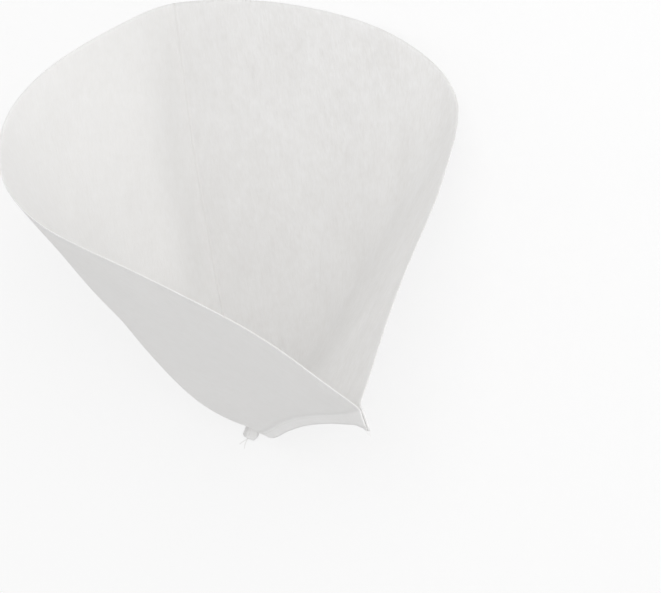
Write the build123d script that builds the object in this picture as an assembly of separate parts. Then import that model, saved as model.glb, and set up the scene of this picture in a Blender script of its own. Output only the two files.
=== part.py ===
"""Filter cone for fryer oil: one sheet of non-woven fabric, folded once and sewn into a cone.

The sheet is about half a disc. It is creased down its middle, and its two straight cut
edges lie face to face in a narrow seam that stands out from the wall like a fin.
The cone lies on the flat wall beside its crease, with its mouth held open by the stiffness
of the sheet. The walls run straight towards one point, and bow in to a tip just short of it.

Millimetres. The floor is z = 0, the tip points to -Y and the mouth opens towards +Y.
"""
import os
from math import atan2, cos, sin

from build123d import *

# Sheet
sheet_thickness = 0.5       # in a section across the axis, so about 0.45 square to the sheet
sheet_radius = 270.0        # from the point where the walls meet to the rim, along the sheet

# Wall lines of the section at mouth_distance, seen from the tip with the floor below
mouth_distance = 240.0      # along the cone's axis, from the point where the walls meet
floor_wall = 188.0          # from the crease to the corner of the right wall
right_wall = 259.6          # from the floor to the seam
right_lean = 12.3           # degrees that the right wall leans outwards
left_wall = 212.2           # from the crease to the left corner
left_lean = 4.5             # degrees that the left wall leans outwards
axis_side = 120.6           # from the crease to the cone's axis
axis_height = 137.6         # from the floor wall to the cone's axis

# Bends of the sheet, as radii of its middle line; the crease is pressed sharp
right_bend = 62.4           # at mouth_distance, narrowing with the cone
left_bend = 89.8            # at mouth_distance, narrowing with the cone
seam_bend = 1.2             # where a wall turns out into the seam

# Seam
seam_allowance = 9.0        # width of the fin
layer_gap = 0.2             # between its two layers

# Tip
tip_distance = 15.0         # where the tip ends, along the axis
tip_width = 3.2             # of the floor wall at the tip
tip_fold = 0.8              # thickness of the fold that closes the tip
tip_rounding = 2.5          # radius of the corner where the cut edges reach the tip
bow_length = 60.0           # of the stretch beside the tip where the walls bow in
bow_steps = 4
straight_steps = 3          # from the bow to the rim

along_floor = Vector(0, 1, 0)
axis_tilt = atan2(axis_height, mouth_distance)
axis_direction = Vector(0, cos(axis_tilt), sin(axis_tilt))


def section_plane(distance):
    """Plane across the axis, seen from the tip."""
    return Plane(axis_direction * distance, x_dir=(1, 0, 0), z_dir=-axis_direction)


def section_scale(distance):
    """Size of the section beside the one at mouth_distance, with the bow near the tip."""
    from_bow = max(tip_distance + bow_length - distance, 0) / bow_length
    drawn_in = tip_distance / mouth_distance - tip_width / floor_wall
    return distance / mouth_distance - drawn_in * from_bow**2


def corners(distance):
    """Where the wall lines meet in section: right, crease, left and seam."""
    scale = section_scale(distance)
    floor = -axis_height * distance / mouth_distance
    crease = Vector(-axis_side * scale, floor + sheet_thickness / 2)
    right = crease + Vector(floor_wall, 0) * scale
    seam = right + Vector(0, right_wall).rotate(Axis.Z, -right_lean) * scale
    left = crease + Vector(0, left_wall).rotate(Axis.Z, left_lean) * scale
    return right, crease, left, seam


def seam_directions(distance):
    """From the seam along the right wall, along the front wall, and out along the fin."""
    right, crease, left, seam = corners(distance)
    along_right = (right - seam).normalized()
    along_front = (left - seam).normalized()
    return along_right, along_front, -(along_right + along_front).normalized()


def middle_line(distance):
    """Middle line of the sheet in section, from one cut edge round the cone to the other."""
    right, crease, left, seam = corners(distance)
    along_right, along_front, outwards = seam_directions(distance)
    layer = outwards.rotate(Axis.Z, -90) * (sheet_thickness + layer_gap) / 2
    inset = layer.length / along_right.cross(outwards).length
    cut_edges = seam + outwards * seam_allowance
    return [
        cut_edges + layer,
        seam + along_right * inset,
        right,
        crease,
        left,
        seam + along_front * inset,
        cut_edges - layer,
    ]


def moved_inwards(points, depth):
    """The same straight runs, moved towards the inside of the cone."""
    runs = [(end - start).normalized() for start, end in zip(points, points[1:])]
    steps = [run.rotate(Axis.Z, -90) * depth for run in runs]
    moved = [points[0] + steps[0]]
    for corner, before, after in zip(points[1:], steps, steps[1:]):
        mitre = before + after
        moved.append(corner + mitre * (2 * depth**2 / mitre.dot(mitre)))
    return moved + [points[-1] + steps[-1]]


def sheet_face(distance, depth):
    """One face of the sheet in section, at this depth inwards from its middle line."""
    scale = section_scale(distance)
    at_seam = seam_bend + depth
    at_right = right_bend * scale - depth
    at_left = left_bend * scale - depth
    at_crease = 0
    radii = [at_seam, at_right, at_crease, at_left, at_seam]
    return FilletPolyline(*moved_inwards(middle_line(distance), depth), radius=radii)


def sheet_section(distance):
    """Section through the folded sheet alone."""
    outside = sheet_face(distance, -sheet_thickness / 2)
    inside = sheet_face(distance, sheet_thickness / 2)
    cut_edges = [Line(outside @ 0, inside @ 0), Line(outside @ 1, inside @ 1)]
    return section_plane(distance) * make_face([*outside.edges(), *inside.edges(), *cut_edges])


def filled_section(distance):
    """Section with the inside of the cone and of the seam filled in."""
    outside = sheet_face(distance, -sheet_thickness / 2)
    return section_plane(distance) * make_face([*outside.edges(), Line(outside @ 1, outside @ 0)])


def evenly_spaced(start, end, steps):
    return [start + (end - start) * step / steps for step in range(steps + 1)]


def with_flat_walls(walls):
    """The same walls, with each face between the bends a true plane."""
    return Solid(Shell([Face(face.outer_wire()) if face.is_planar else face for face in walls.faces()]))


def cone_walls():
    """The folded sheet from the tip to its rim, which is cut as an arc of the flat sheet."""
    bow_end = tip_distance + bow_length
    stations = evenly_spaced(tip_distance, bow_end, bow_steps)
    stations += evenly_spaced(bow_end, sheet_radius, straight_steps)[1:]
    sections = [sheet_section(distance) for distance in stations]
    return with_flat_walls(loft(sections, ruled=True)) & Sphere(sheet_radius)


def tip_end():
    """The fold across the tip, which closes the cone and the end of the seam."""
    return extrude(filled_section(tip_distance), tip_fold, dir=-along_floor)


def tip_rounding_cut():
    """What the rounding takes off the fin, where the cut edges reach the tip."""
    here, there = [
        section_plane(distance).from_local_coords(
            corners(distance)[-1] + seam_directions(distance)[-1] * seam_allowance
        )
        for distance in (tip_distance, tip_distance + bow_length / bow_steps)
    ]
    corner = here - along_floor * tip_fold
    inwards = section_plane(tip_distance).from_local_coords(corners(tip_distance)[-1]) - here
    along = there - corner
    fin_plane = Plane(corner, x_dir=inwards, z_dir=inwards.cross(along))
    far_end = fin_plane.to_local_coords(corner + along)
    outline = [Vector(seam_allowance, 0), Vector(0, 0), far_end]
    rounded = FilletPolyline(*outline, radius=tip_rounding)
    base = Line(outline[-1], outline[0])
    sharp_face = make_face([*Polyline(*outline).edges(), base])
    rounded_face = make_face([*rounded.edges(), base])
    return extrude(fin_plane * (sharp_face - rounded_face), 2 * sheet_thickness + layer_gap, both=True)


def filter_cone():
    cone = cone_walls() + tip_end() - tip_rounding_cut()
    place = cone.bounding_box()
    return Pos(-place.center().X, -place.center().Y, -place.min.Z) * cone


os.makedirs("parts", exist_ok=True)
export_step(filter_cone(), "parts/filter_cone.step")
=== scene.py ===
"""Looks of the fryer oil filter cone: the sewn sheet of non-woven fabric, its stitches and loose
thread ends, the floor, the light and the camera. Metres, in the part's own frame.
"""
from math import acos, atan2, cos, pi, radians, sin, tan

import bpy
import numpy as np
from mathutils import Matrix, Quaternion, Vector


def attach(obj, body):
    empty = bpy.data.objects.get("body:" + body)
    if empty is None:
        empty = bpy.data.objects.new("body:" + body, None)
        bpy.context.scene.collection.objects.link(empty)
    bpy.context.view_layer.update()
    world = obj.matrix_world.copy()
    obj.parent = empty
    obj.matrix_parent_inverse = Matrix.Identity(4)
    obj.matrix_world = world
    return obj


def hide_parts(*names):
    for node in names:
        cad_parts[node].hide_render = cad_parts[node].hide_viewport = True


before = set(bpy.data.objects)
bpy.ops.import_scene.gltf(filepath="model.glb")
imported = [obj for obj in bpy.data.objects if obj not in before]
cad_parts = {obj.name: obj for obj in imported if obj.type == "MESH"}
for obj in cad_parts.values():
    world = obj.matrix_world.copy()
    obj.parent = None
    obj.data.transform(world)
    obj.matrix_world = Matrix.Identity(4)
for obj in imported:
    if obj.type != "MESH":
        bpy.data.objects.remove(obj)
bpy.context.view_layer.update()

# Sheet
sheet_radius = 0.270
longer_half = 0.0006            # how much the floor's and the right wall's half reaches further
shorter_half = 0.0012           # how much the other half falls short
halves_meet = 0.1               # stretch beside the crease over which the cut changes
sheet_thickness = 0.00045
rows = 145                      # of the mesh, from the tip to the rim
row_crowding = 1.15             # above 1, rows lie closer near the tip
station_count = 420             # distances at which the section is worked out, for the rows to use
last_station = 1.02             # in sheet radii, just past the rim

# Where the straight walls of the cone would meet, and the cone's axis
meeting_point = np.array([0.0060, -0.1405, 0.0])
mouth_distance = 0.240
axis_height = 0.1376
floor_lift = 0.0003             # from the floor to the middle of the sheet

# Section across the axis at mouth_distance, from the axis, seen from the tip
floor_line = -axis_height
seam = (0.1233, 0.1155)
right_corner = (0.0794, -0.0838)
floor_corner = (0.0507, floor_line)
crease = (-0.1179, floor_line)
left_corner = (-0.1490, 0.0741)
right_bend = 0.022
floor_bend = 0.0934
crease_bend = 0.0012
left_bend = 0.1010
right_hollow = 0.0015           # how far each wall bows in at its middle
corner_hollow = 0.0006
left_hollow = 0.0055
front_hollow = 0.0031
right_sway = 0.0022             # how far it bows in before its middle, and out after it
front_sway = -0.0012
kink_rounding = 6               # times each point of the section is moved towards its neighbours
point_spacing = 0.0031          # along the section, at most
bend_points_more = 5            # than the spacing alone gives
wall_points_more = 3

# Seam
fin_width = 0.0092
fin_lean = 0.18                 # 0 in line with the front wall, 1 in line with the right wall
fin_columns = 6
fin_turn = 0.0018               # width over which the fin turns into the walls
turn_columns = 6
right_turn_end = 1              # points of each wall, counted from the seam, where the turn ends
front_turn_end = 3
layer_offset = 0.00034          # of each layer from the middle of the seam

# Corner of the fin at the rim
corner_width = 0.0126           # of the fin there
corner_widening = 0.0635        # stretch before the rim over which the fin widens
corner_lean = 0.535             # of the fin there
corner_leaning = 0.032          # stretch before the rim over which the fin leans over
corner_overhang = 0.0026        # how much wider the right wall's layer is
corner_reach = 0.0059           # how much further out the rim reaches
corner_mismatch = 0.0012        # how much further still in the right wall's layer

# Sag of the seam
seam_sag = 0.0175               # how far the seam sags between its ends
sag_direction = (-0.70, -0.71)  # in the section
sag_start = 0.016               # along the axis, as are sag_peak and sag_end
sag_peak = 0.095
sag_end = 0.235

# Tip: the walls close at tab_distance, and the fin runs on past them as a small tab
tip_distance = 0.015            # along the axis, where the tab ends
tab_distance = 0.0215
tab_scale = 0.0030              # of the section there
bow_end = 0.100                 # where the walls begin to bow in
tab_width = 0.0082              # of the fin there
tab_angle = radians(5)          # of the fin to the floor where it ends
tab_falls_from = 0.110          # where the fin begins to turn to that angle
tip_shift = -0.0080             # of the tip to the side
shift_from = 0.120
tip_rounding = 0.0026
end_press = 0.004               # stretch over which the two layers come together at the end

# Softness of the walls
wave_height = 0.0002
wave_fade = 0.03                # stretch beside the crease and the seam where the waves fade
waves_full_from = 0.1           # along the axis; nearer the tip the waves are lower
floor_contact = 0.002           # up to this height a wall counts as lying on the floor
# Lengths across and along the sheet, and phase
wave_lengths = ((0.121, 0.190, 0.3), (-0.067, 0.120, 0.0), (0.210, 0.074, 0.6))
crease_bow = 0.0040             # how far the crease bows out between its ends
crease_bow_peak = 0.140         # along the axis, as is crease_bow_end
crease_bow_end = 0.260
crease_bow_reach = 0.045        # across the crease, to each side

axis = np.array([0.0, mouth_distance, axis_height]) / np.hypot(mouth_distance, axis_height)
section_up = np.array([0.0, -axis[2], axis[1]])
slope = axis_height / mouth_distance


def smooth_step(low, high, x):
    part = np.clip((x - low) / (high - low), 0, 1)
    return part * part * (3 - 2 * part)


def unit(v):
    return v / np.linalg.norm(v)


def direction(angle):
    return np.array([cos(angle), sin(angle)])


def bend_points(before, corner, after, radius):
    """Points along the arc that rounds a corner of the section."""
    towards_before = unit(before - corner)
    towards_after = unit(after - corner)
    half_angle = acos(np.dot(towards_before, towards_after)) / 2
    start = corner + towards_before * radius / tan(half_angle)
    end = corner + towards_after * radius / tan(half_angle)
    centre = corner + unit(towards_before + towards_after) * radius / sin(half_angle)
    turn = pi - 2 * half_angle
    x_axis = start - centre
    y_axis = (end - centre - x_axis * cos(turn)) / sin(turn)
    angles = np.linspace(0, turn, int(radius * turn / point_spacing) + bend_points_more)
    return centre + np.outer(np.cos(angles), x_axis) + np.outer(np.sin(angles), y_axis)


def wall_points(start, end, hollow, sway=0):
    """Points along a wall, both ends left out: hollow bows it in, and sway in and then out."""
    run = end - start
    length = np.linalg.norm(run)
    inwards = np.array([run[1], -run[0]]) / length
    parts = np.linspace(0, 1, int(length / point_spacing) + wall_points_more)[1:-1]
    depth = hollow * np.sin(pi * parts) ** 2 + sway * np.sin(2 * pi * parts)
    return start + np.outer(parts, run) + np.outer(depth, inwards)


def softened(points):
    """The same line with its kinks rounded a little."""
    for repeat in range(kink_rounding):
        points[1:-1] = (points[:-2] + 2 * points[1:-1] + points[2:]) / 4
    return points


def wall_section():
    """Section of the walls at mouth_distance, from the seam round to the seam.

    With it comes the index of its point on the crease.
    """
    at_seam, at_right, at_floor, at_crease, at_left = map(
        np.array, (seam, right_corner, floor_corner, crease, left_corner)
    )
    right_arc = bend_points(at_seam, at_right, at_floor, right_bend)
    floor_arc = bend_points(at_right, at_floor, at_crease, floor_bend)
    crease_arc = bend_points(at_floor, at_crease, at_left, crease_bend)
    left_arc = bend_points(at_crease, at_left, at_seam, left_bend)
    before_crease = [
        [at_seam],
        wall_points(at_seam, right_arc[0], right_hollow, right_sway),
        right_arc,
        wall_points(right_arc[-1], floor_arc[0], corner_hollow),
        floor_arc,
        wall_points(floor_arc[-1], crease_arc[0], 0),
    ]
    after_crease = [
        wall_points(crease_arc[-1], left_arc[0], left_hollow),
        left_arc,
        wall_points(left_arc[-1], at_seam, front_hollow, front_sway),
        [at_seam],
    ]
    crease_index = sum(len(part) for part in before_crease) + len(crease_arc) // 2
    parts = [softened(np.vstack(before_crease)), crease_arc, softened(np.vstack(after_crease))]
    return np.vstack(parts), crease_index


section, crease_index = wall_section()
steps = np.linalg.norm(np.diff(section, axis=0), axis=1)
from_crease = np.r_[0, np.cumsum(steps)]
from_crease -= from_crease[crease_index]    # along the section, below 0 towards the floor wall
section[:, 1] -= floor_line                 # from here on, heights are above the floor wall
tangents = np.gradient(section, axis=0)
tangents /= np.linalg.norm(tangents, axis=1)[:, None]
inwards = np.stack([tangents[:, 1], -tangents[:, 0]], axis=1)
rim_at_seam = sheet_radius / np.linalg.norm([*seam, mouth_distance]) * mouth_distance
right_wall_angle = atan2(seam[1] - right_corner[1], seam[0] - right_corner[0])
front_wall_angle = atan2(seam[1] - left_corner[1], seam[0] - left_corner[0])
fin_angle = front_wall_angle + (right_wall_angle - front_wall_angle) * fin_lean
corner_turn = (right_wall_angle - front_wall_angle) * (corner_lean - fin_lean)


def section_scale(distance):
    """Size of the section beside the one at mouth_distance, with the bow near the tip."""
    distance = max(distance, tab_distance)
    from_bow = max(bow_end - distance, 0) / (bow_end - tab_distance)
    return distance / mouth_distance - (tab_distance / mouth_distance - tab_scale) * from_bow**2


def hump(start, peak, end, x):
    """Rises from 0 at start to 1 at peak, and falls back to 0 at end."""
    return smooth_step(start, peak, x) * (1 - smooth_step(peak, end, x))


def softness(distance, scale):
    """How far the walls stand off the straight cone at a distance along the axis."""
    waves = sum(
        np.sin(2 * pi * (from_crease * scale / across + distance / along + phase))
        for across, along, phase in wave_lengths
    )
    on_floor = (from_crease < 0) & (section[:, 1] < floor_contact)
    # The waves only lift the floor wall, and never press it into the floor
    waves = np.where(on_floor, (waves + len(wave_lengths)) / 2, waves)
    ends = from_crease[[0, -1]]
    from_ends = np.minimum(from_crease - ends[0], ends[1] - from_crease)
    inside_wall = smooth_step(0, wave_fade, np.minimum(np.abs(from_crease), from_ends) * scale)
    height = wave_height * inside_wall * smooth_step(tab_distance, waves_full_from, distance)
    moved = inwards * (waves * height)[:, None]

    near_crease = 1 - smooth_step(0, crease_bow_reach, np.abs(from_crease * scale))
    bow = crease_bow * hump(tab_distance, crease_bow_peak, crease_bow_end, distance)
    moved[:, 0] -= bow * near_crease

    right_length = np.linalg.norm(np.subtract(right_corner, seam))
    front_length = np.linalg.norm(np.subtract(left_corner, seam))
    near_seam = np.maximum(
        1 - (from_crease - ends[0]) / right_length,
        1 - (ends[1] - from_crease) / front_length,
    ).clip(0, 1)
    sag = seam_sag * hump(sag_start, sag_peak, sag_end, distance)
    return moved + np.outer(near_seam**2 * sag, sag_direction)


def bezier(start, corner, end, parts):
    parts = parts[:, None]
    return start * (1 - parts) ** 2 + corner * 2 * parts * (1 - parts) + end * parts**2


def section_at(distance):
    """The whole sheet in section at a distance along the axis, sideways and up from the floor wall."""
    scale = section_scale(distance)
    past_rim = distance - rim_at_seam
    near_corner = smooth_step(-corner_leaning, 0, past_rim)
    off_tab = smooth_step(tip_distance, tab_falls_from, distance)
    angle = tab_angle + (fin_angle - tab_angle) * off_tab + corner_turn * near_corner
    outwards = direction(angle)
    across = direction(angle + pi / 2)
    closed = 1 - smooth_step(0, end_press, distance - tip_distance)
    offset = layer_offset + (sheet_thickness / 2 - layer_offset) * closed

    walls = section * scale + softness(distance, scale)
    base = (walls[0] + walls[-1]) / 2
    width = tab_width + (fin_width - tab_width) * smooth_step(tab_distance, bow_end, distance)
    width += (corner_width - fin_width) * smooth_step(-corner_widening, 0, past_rim)
    fin_parts = np.linspace(1, fin_turn / fin_width, fin_columns)[:, None]
    overhang = fin_parts**3 * corner_overhang * near_corner
    turn_parts = np.linspace(0, 1, turn_columns + 2)[1:-1]
    right_fin = base + (fin_parts * width + overhang) * outwards - across * offset
    left_fin = base + fin_parts * width * outwards + across * offset
    walls = walls[right_turn_end : -front_turn_end]
    right_turn = bezier(right_fin[-1], base, walls[0], turn_parts)
    left_turn = bezier(left_fin[-1], base, walls[-1], turn_parts)
    points = np.vstack([right_fin, right_turn, walls, left_turn[::-1], left_fin[::-1]])
    points[:, 0] += tip_shift * (max(shift_from - distance, 0) / (shift_from - tip_distance)) ** 2
    return points


def from_edge_at_tip():
    """How far each column is at the tip from the nearer edge, the crease or the cut edges."""
    fin = np.linspace(0, 1 - fin_turn / fin_width, fin_columns) * tab_width
    turn = np.full(turn_columns, fin[-1])
    wall = np.abs(from_crease[right_turn_end:-front_turn_end]) * tab_scale
    return np.r_[fin, turn, wall, turn, fin[::-1]]


def cut_radius():
    """How far each column reaches from where the walls meet; the two halves don't quite match."""
    shorter = smooth_step(0, halves_meet, from_crease)
    walls = sheet_radius + longer_half - (longer_half + shorter_half) * shorter
    reach = np.pad(walls[right_turn_end:-front_turn_end], fin_columns + turn_columns, mode="edge")
    to_corner = np.linspace(1, 0, fin_columns + turn_columns)
    reach[: len(to_corner)] += (corner_reach + corner_mismatch) * to_corner
    reach[-len(to_corner) :] += corner_reach * to_corner[::-1]
    return reach


def sheet_points():
    """The middle of the sheet, as rows of points from the tip to the rim, in the part's frame."""
    stations = np.linspace(tip_distance, sheet_radius * last_station, station_count)
    flat_points = np.array([section_at(distance) for distance in stations])
    heights = flat_points[:, :, 1] + (floor_lift - slope * stations)[:, None]
    points = stations[:, None, None] * axis + heights[:, :, None] * section_up
    points[:, :, 0] += flat_points[:, :, 0]
    reach = np.linalg.norm(points, axis=2)
    from_edge = np.clip(from_edge_at_tip(), 0, tip_rounding)
    arc = np.sqrt(tip_rounding**2 - (tip_rounding - from_edge) ** 2)
    starts = tip_distance + tip_rounding - arc
    row_parts = np.linspace(0, 1, rows + 1) ** row_crowding
    grid = np.empty((rows + 1, points.shape[1], 3))
    for column, radius in enumerate(cut_radius()):
        rim = np.interp(radius, reach[:, column], stations)
        distances = starts[column] + (rim - starts[column]) * row_parts
        for way in range(3):
            grid[:, column, way] = np.interp(distances, stations, points[:, column, way])
    return grid + meeting_point


def flat_pattern(grid):
    """Where each point lies on the flat sheet, across and along, from where the walls meet."""
    reach = np.linalg.norm(grid - meeting_point, axis=2)
    rim = np.r_[0, np.cumsum(np.linalg.norm(np.diff(grid[-1], axis=0), axis=1))]
    crease_column = fin_columns + turn_columns + crease_index - right_turn_end
    angle = (rim - rim[crease_column]) / sheet_radius
    return np.stack([reach * np.sin(angle), reach * np.cos(angle)], axis=2)


# How much of the flat pattern the UV map takes in: across both ways, and along
pattern_reach = 0.290


def make_sheet(grid, material):
    """The sheet as one surface of quads with a thickness, and the flat pattern as its UV map.

    The attribute "doubled" is 1 on the fin, where the sheet lies in two layers, and 0 elsewhere.
    """
    height, width = grid.shape[:2]
    corner = (np.arange(height - 1)[:, None] * width + np.arange(width - 1)).ravel()
    quads = np.stack([corner, corner + 1, corner + width + 1, corner + width], axis=1)
    mesh = bpy.data.meshes.new("filter_sheet")
    mesh.from_pydata(grid.reshape(-1, 3).tolist(), [], quads.tolist())
    flat = flat_pattern(grid) / pattern_reach
    uv = np.stack([flat[..., 0] / 2 + 0.5, flat[..., 1]], axis=2).reshape(-1, 2)
    mesh.uv_layers.new(name="flat_pattern").data.foreach_set("uv", uv[quads.ravel()].ravel())
    from_cut_edge = np.minimum(np.arange(width), width - 1 - np.arange(width))
    doubled = np.tile((from_cut_edge < fin_columns).astype(float), height)
    mesh.attributes.new("doubled", "FLOAT", "POINT").data.foreach_set("value", doubled)
    mesh.shade_smooth()
    mesh.materials.append(material)
    sheet = bpy.data.objects.new("filter_sheet", mesh)
    bpy.context.scene.collection.objects.link(sheet)
    solid = sheet.modifiers.new("thickness", "SOLIDIFY")
    solid.thickness = sheet_thickness
    solid.offset = 0
    return sheet


# Stitches
stitch_column = 4               # of the fin, counted from its cut edge
stitch_pitch = 0.0030
stitch_length = 0.0024
thread_radius = 0.00016
# Along the stitch from its middle, in half lengths, and up from the sheet, in thread radii
stitch_profile = ((-1, -0.8), (-0.75, 0.6), (0, 1.1), (0.75, 0.6), (1, -0.8))


def along_line(line, lengths, where):
    return np.array([np.interp(where, lengths, line[:, way]) for way in range(3)]).T


def add_strand(curve, points):
    strand = curve.splines.new("NURBS")
    strand.points.add(len(points) - 1)
    for point, place in zip(strand.points, points):
        point.co = (*place, 1)
    strand.order_u = 3
    strand.use_endpoint_u = True


def stitches(curve, line, outwards):
    """A row of stitches along a line on one face of the fin."""
    lengths = np.r_[0, np.cumsum(np.linalg.norm(np.diff(line, axis=0), axis=1))]
    reach = np.array([along for along, up in stitch_profile]) * stitch_length / 2
    up = np.array([up for along, up in stitch_profile])[:, None] * thread_radius
    for middle in np.arange(stitch_pitch, lengths[-1] - stitch_length / 2, stitch_pitch):
        where = middle + reach
        points = along_line(line, lengths, where) + along_line(outwards, lengths, where) * up
        add_strand(curve, points)


# Loose thread ends, as steps from where they leave the sheet
tip_ends = (
    ((-0.0012, -0.0018, 0.0002), (-0.0030, -0.0036, -0.0004), (-0.0044, -0.0058, -0.0006)),
    ((-0.0006, -0.0024, 0.0002), (-0.0012, -0.0050, -0.0003), (-0.0010, -0.0074, -0.0006)),
)
rim_ends = (
    ((0.0003, -0.0008, 0.0001), (0.0003, -0.0018, -0.0001), (0.0009, -0.0026, -0.0003)),
    ((0.0006, -0.0010, 0.0002), (0.0010, -0.0022, 0.0001), (0.0021, -0.0030, 0.0003)),
)


def make_thread(grid, material):
    curve = bpy.data.curves.new("seam_thread", "CURVE")
    curve.dimensions = "3D"
    curve.bevel_depth = thread_radius
    curve.bevel_resolution = 1
    curve.resolution_u = 3
    curve.use_fill_caps = True
    curve.materials.append(material)
    right, left = grid[:, stitch_column], grid[:, -1 - stitch_column]
    across = left - right
    across /= np.linalg.norm(across, axis=1)[:, None]
    stitches(curve, right - across * sheet_thickness / 2, -across)
    stitches(curve, left + across * sheet_thickness / 2, across)
    middle = (right + left) / 2
    for steps in tip_ends:
        points = middle[0] + np.array([(0, 0, 0), *steps])
        points[:, 2] = np.maximum(points[:, 2], thread_radius)
        add_strand(curve, points)
    for steps, column in zip(rim_ends, (0, -1)):
        add_strand(curve, grid[-1, column] + np.array([(0, 0, 0), *steps]))
    thread = bpy.data.objects.new("seam_thread", curve)
    bpy.context.scene.collection.objects.link(thread)
    return thread


class Shader:
    """A material's nodes, added and joined by plain calls."""

    def __init__(self, name):
        self.material = bpy.data.materials.new(name)
        self.material.use_nodes = True
        self.tree = self.material.node_tree
        self.tree.nodes.clear()

    def node(self, kind, values=(), **settings):
        """A node with settings, and values or other nodes' sockets on its inputs."""
        node = self.tree.nodes.new(kind)
        for name, value in settings.items():
            setattr(node, name, value)
        for key, value in dict(values).items():
            if isinstance(value, bpy.types.NodeSocket):
                self.tree.links.new(value, node.inputs[key])
            else:
                node.inputs[key].default_value = value
        return node

    def math(self, operation, first, second):
        return self.node("ShaderNodeMath", {0: first, 1: second}, operation=operation).outputs[0]

    def surface(self, shader):
        self.node("ShaderNodeOutputMaterial", {"Surface": shader})
        return self.material


# Fabric: layers of noise, in grains to the metre across and along the fibres
fibres = (1250, 260)
strands = (620, 130)
mottling = (300, 190)
clouds = (45, 28)
noise_shares = {fibres: 1.5, strands: 1.1, mottling: 0.9, clouds: 0.6}
noise_detail = 2
noise_roughness = 0.6
seed_step = 7.3                 # between the layers, so that they don't match

# How uneven the fabric is at two places across the pattern; it changes steadily between them
coarse_place = 0.2
coarse_unevenness = 1.1
fine_place = 0.6
fine_unevenness = 0.5

# The thin colour is also the colour of the painted shade on the crease line
dense_color = (0.965, 0.963, 0.960, 1)
thin_and_crease_shade_color = (0.885, 0.876, 0.864, 1)
crease_shade_width = 0.0009      # of the painted shade line on the crease, to each side of it
crease_shade_depth = 0.8         # taken off the density, which paints shade on the crease line
bump_depth = 0.00012
bump_strength = 0.6

# Light that shines through, as a share that is less where the sheet is dense or doubled
through_color = (0.935, 0.928, 0.916, 1)
through_share = 0.24
less_where_dense = 0.08
less_where_doubled = 0.15


def pattern_noise(shader, grains, seed):
    """Noise on the flat pattern, stretched along the fibres; about 0.5 on average."""
    uv = shader.node("ShaderNodeUVMap", uv_map="flat_pattern").outputs["UV"]
    scale = (grains[0] * 2 * pattern_reach, grains[1] * pattern_reach, 1)
    values = {"Vector": uv, "Scale": scale, "Location": (seed, seed, seed)}
    place = shader.node("ShaderNodeMapping", values).outputs["Vector"]
    values = {"Vector": place, "Scale": 1, "Detail": noise_detail, "Roughness": noise_roughness}
    return shader.node("ShaderNodeTexNoise", values).outputs["Fac"]


def across_pattern(shader):
    """Where a point lies across the pattern: 0.5 on the crease, less on the right wall's side."""
    uv = shader.node("ShaderNodeUVMap", uv_map="flat_pattern").outputs["UV"]
    return shader.node("ShaderNodeSeparateXYZ", {0: uv}).outputs["X"]


def coarseness(shader):
    """How uneven the fabric is; more so towards the right wall's cut edge."""
    values = {
        0: across_pattern(shader),
        1: coarse_place,
        2: fine_place,
        3: coarse_unevenness,
        4: fine_unevenness,
    }
    return shader.node("ShaderNodeMapRange", values).outputs[0]


def crease_shade(shader):
    """Painted shade on the crease line: how much darker and thinner the sheet is made along it."""
    away = shader.math("ABSOLUTE", shader.math("SUBTRACT", across_pattern(shader), 0.5), 0)
    width = crease_shade_width / pattern_reach / 2
    values = {0: away, 1: 0, 2: width, 3: crease_shade_depth, 4: 0}
    painted_shade = shader.node("ShaderNodeMapRange", values, interpolation_type="SMOOTHSTEP")
    return painted_shade.outputs[0]


def fabric_material():
    """Non-woven fabric: fibres that mostly run along the crease, denser in some places, with painted
    shade along the crease line.
    """
    shader = Shader("filter_fabric")
    unevenness = 0.0
    height = 0.0
    for layer, (grains, share) in enumerate(noise_shares.items()):
        noise = pattern_noise(shader, grains, layer * seed_step)
        from_middle = shader.math("SUBTRACT", noise, 0.5)
        unevenness = shader.math("ADD", unevenness, shader.math("MULTIPLY", from_middle, share))
        if grains in (fibres, strands):
            height = shader.math("ADD", height, noise)
    unevenness = shader.math("MULTIPLY", unevenness, coarseness(shader))
    # Painted shade: the crease line is taken off the density, so it is darker and lets more light
    # through
    density_and_crease_shade = shader.math("SUBTRACT", shader.math("ADD", unevenness, 0.5), crease_shade(shader))
    color = shader.node("ShaderNodeMix", data_type="RGBA")
    shader.tree.links.new(density_and_crease_shade, color.inputs["Factor"])
    color.inputs["A"].default_value = thin_and_crease_shade_color
    color.inputs["B"].default_value = dense_color
    values = {"Height": height, "Distance": bump_depth, "Strength": bump_strength}
    normal = shader.node("ShaderNodeBump", values).outputs["Normal"]
    cloth = shader.node(
        "ShaderNodeBsdfPrincipled",
        {
            "Base Color": color.outputs[2],
            "Roughness": 0.85,
            "Specular IOR Level": 0.25,
            "Sheen Weight": 0.08,
            "Normal": normal,
        },
    )
    through = shader.node("ShaderNodeBsdfTranslucent", {"Color": through_color, "Normal": normal})
    less = shader.math("MULTIPLY", density_and_crease_shade, less_where_dense)
    share = shader.math("SUBTRACT", through_share, less)
    doubled = shader.node("ShaderNodeAttribute", attribute_name="doubled").outputs["Fac"]
    less = shader.math("MULTIPLY", doubled, less_where_doubled)
    share = shader.math("SUBTRACT", share, less)
    mix = shader.node("ShaderNodeMixShader", {0: share, 1: cloth.outputs[0], 2: through.outputs[0]})
    return shader.surface(mix.outputs[0])


# Thread
thread_grain = 2600             # to the metre
thread_dark = (0.80, 0.79, 0.77, 1)
thread_light = (0.92, 0.915, 0.90, 1)
thread_bump = 0.00005


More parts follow.
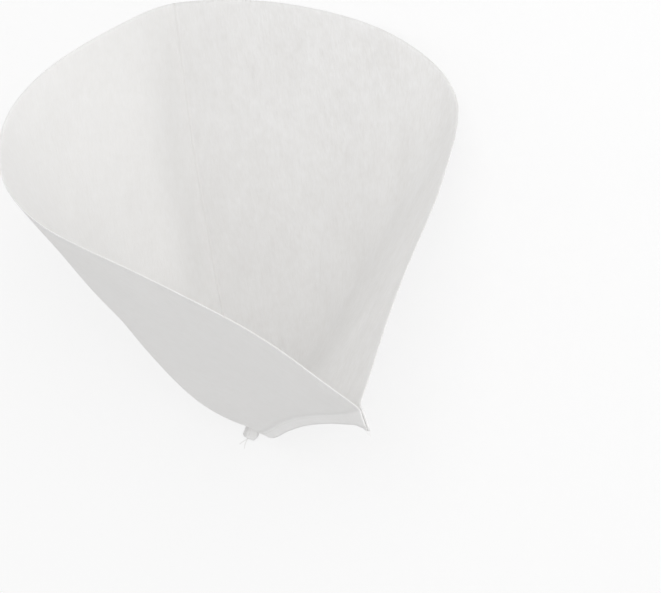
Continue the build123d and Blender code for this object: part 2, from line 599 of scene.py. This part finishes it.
def thread_material():
    """Spun white thread, a little uneven in colour."""
    shader = Shader("seam_thread")
    place = shader.node("ShaderNodeTexCoord").outputs["Object"]
    noise = shader.node("ShaderNodeTexNoise", {"Vector": place, "Scale": thread_grain, "Detail": 2})
    color = shader.node("ShaderNodeMix", data_type="RGBA")
    shader.tree.links.new(noise.outputs["Fac"], color.inputs["Factor"])
    color.inputs["A"].default_value = thread_dark
    color.inputs["B"].default_value = thread_light
    bump = shader.node("ShaderNodeBump", {"Height": noise.outputs["Fac"], "Distance": thread_bump})
    values = {"Base Color": color.outputs[2], "Roughness": 0.8, "Normal": bump.outputs["Normal"]}
    return shader.surface(shader.node("ShaderNodeBsdfPrincipled", values).outputs[0])


# Floor, light and background
floor_size = 24
floor_color = (0.9, 0.9, 0.9, 1)
floor_glow = 0.68               # share of plain white that the camera sees in the floor


def make_floor():
    shader = Shader("floor")
    paint = shader.node("ShaderNodeBsdfDiffuse", {"Color": floor_color})
    white = shader.node("ShaderNodeEmission")
    seen = shader.node("ShaderNodeLightPath").outputs["Is Camera Ray"]
    share = shader.math("MULTIPLY", seen, floor_glow)
    mix = shader.node("ShaderNodeMixShader", {0: share, 1: paint.outputs[0], 2: white.outputs[0]})
    bpy.ops.mesh.primitive_plane_add(size=floor_size)
    floor = bpy.context.object
    floor.name = "floor"
    floor.data.materials.append(shader.surface(mix.outputs[0]))


ambient_light = 0.76


def make_world():
    """Plain light from all round, and white behind the part."""
    world = bpy.data.worlds.new("studio")
    bpy.context.scene.world = world
    world.use_nodes = True
    nodes, links = world.node_tree.nodes, world.node_tree.links
    nodes.clear()
    path = nodes.new("ShaderNodeLightPath")
    strength = nodes.new("ShaderNodeMix")
    strength.inputs["A"].default_value = ambient_light
    strength.inputs["B"].default_value = 1
    links.new(path.outputs["Is Camera Ray"], strength.inputs["Factor"])
    background = nodes.new("ShaderNodeBackground")
    background.inputs["Color"].default_value = (1, 1, 1, 1)
    links.new(strength.outputs["Result"], background.inputs["Strength"])
    output = nodes.new("ShaderNodeOutputWorld")
    links.new(background.outputs["Background"], output.inputs["Surface"])


key_place = Vector((0.44, 0.95, 1.40))
key_size = 1.1
key_power = 10.5


def make_key_light():
    data = bpy.data.lights.new("key", "AREA")
    data.shape = "DISK"
    data.size = key_size
    data.energy = key_power
    lamp = bpy.data.objects.new("key", data)
    lamp.location = key_place
    lamp.rotation_mode = "QUATERNION"
    lamp.rotation_quaternion = (-key_place).to_track_quat("-Z", "Y")
    bpy.context.scene.collection.objects.link(lamp)


# Camera, as the photograph was taken
image_width = 661
focal_length = 2232.6           # in the photograph's pixels
sensor_width = 36.0
camera_place = Vector((0.3874, 0.3719, 1.1375))
camera_target = Vector((0.0291, -0.0254, 0.0))
camera_roll = radians(-121.33)


def make_camera():
    data = bpy.data.cameras.new("camera")
    data.sensor_width = sensor_width
    data.lens = focal_length * sensor_width / image_width
    camera = bpy.data.objects.new("camera", data)
    camera.location = camera_place
    camera.rotation_mode = "QUATERNION"
    upright = (camera_target - camera_place).to_track_quat("-Z", "Y")
    camera.rotation_quaternion = upright @ Quaternion((0, 0, 1), camera_roll)
    bpy.context.scene.collection.objects.link(camera)
    bpy.context.scene.camera = camera


grid = sheet_points()
sheet = make_sheet(grid, fabric_material())
thread = make_thread(grid, thread_material())
for piece in (sheet, thread):
    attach(piece, "root")
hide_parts("filter_cone")
make_floor()
make_world()
make_key_light()
make_camera()
bpy.context.scene.view_settings.view_transform = "Standard"
